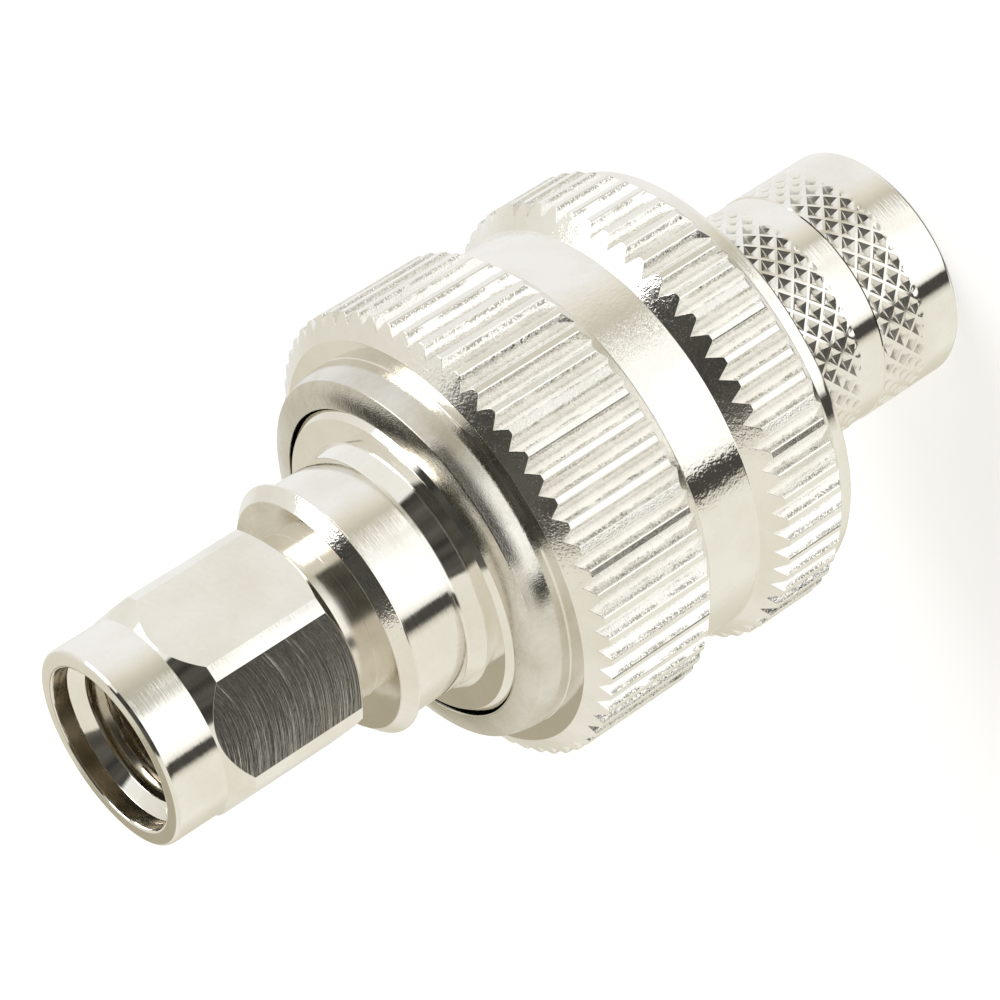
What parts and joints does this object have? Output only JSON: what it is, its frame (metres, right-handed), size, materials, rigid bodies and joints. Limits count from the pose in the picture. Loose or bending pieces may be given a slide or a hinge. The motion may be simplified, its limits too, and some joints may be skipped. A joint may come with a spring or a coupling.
{
  "type": "coaxial adapter",
  "caption": "Coaxial adapter with a hexagonal SMA plug nut, a large double-banded knurled coupling nut and a knurled socket sleeve on one axis.",
  "frame": {"origin": "centre of the rear end face, on which the part stands", "axes": "+Z along the common axis from the rear socket to the SMA mouth; -Y is the side that shows a corner of the hexagon almost face on"},
  "size_m": [0.0184, 0.0184, 0.0368],
  "materials": {
    "nickel": "bright nickel plate on turned brass",
    "satin_nickel": "satin nickel plate on turned brass",
    "gold": "gold plate on brass",
    "bronze": "plain bronze",
    "insulator": "white fluoropolymer",
    "silicone": "silicone rubber"
  },
  "bodies": {
    "rear_half": {"rear_sleeve": "nickel", "rear_body": "nickel", "face_gasket": "silicone", "rear_bead": "insulator", "rear_bead_ring": "nickel", "front_bead": "insulator", "front_bead_ring": "nickel", "centre_contact": "gold"},
    "front_half": {"front_body": "nickel", "slip_washer": "bronze", "spring_sleeve": "bronze", "centre_conductor": "gold", "plug_bead": "insulator", "plug_bead_ring": "nickel", "sma_insulator": "insulator", "sma_pin": "gold", "sma_gasket": "silicone", "retaining_ring": "bronze"},
    "knurled_nut": {"coupling_nut": "satin_nickel"},
    "hex_nut": {"sma_nut": "nickel"}
  },
  "joints": [
    {"name": "draw_off", "type": "slide", "parent": "rear_half", "child": "front_half", "axis": [0, 0, 1], "range_m": [0, 0.0053]},
    {"name": "nut_turn", "type": "hinge", "parent": "front_half", "child": "knurled_nut", "pos_m": [0, 0, 0.0155], "axis": [0, 0, 1], "range_deg": [0, 1800]},
    {"name": "hex_turn", "type": "hinge", "parent": "front_half", "child": "hex_nut", "pos_m": [0, 0, 0.0327], "axis": [0, 0, 1], "continuous": true}
  ],
  "couplings": [
    {"joint": "draw_off", "follows": "nut_turn", "m_per_rad": 0.00016844}
  ]
}
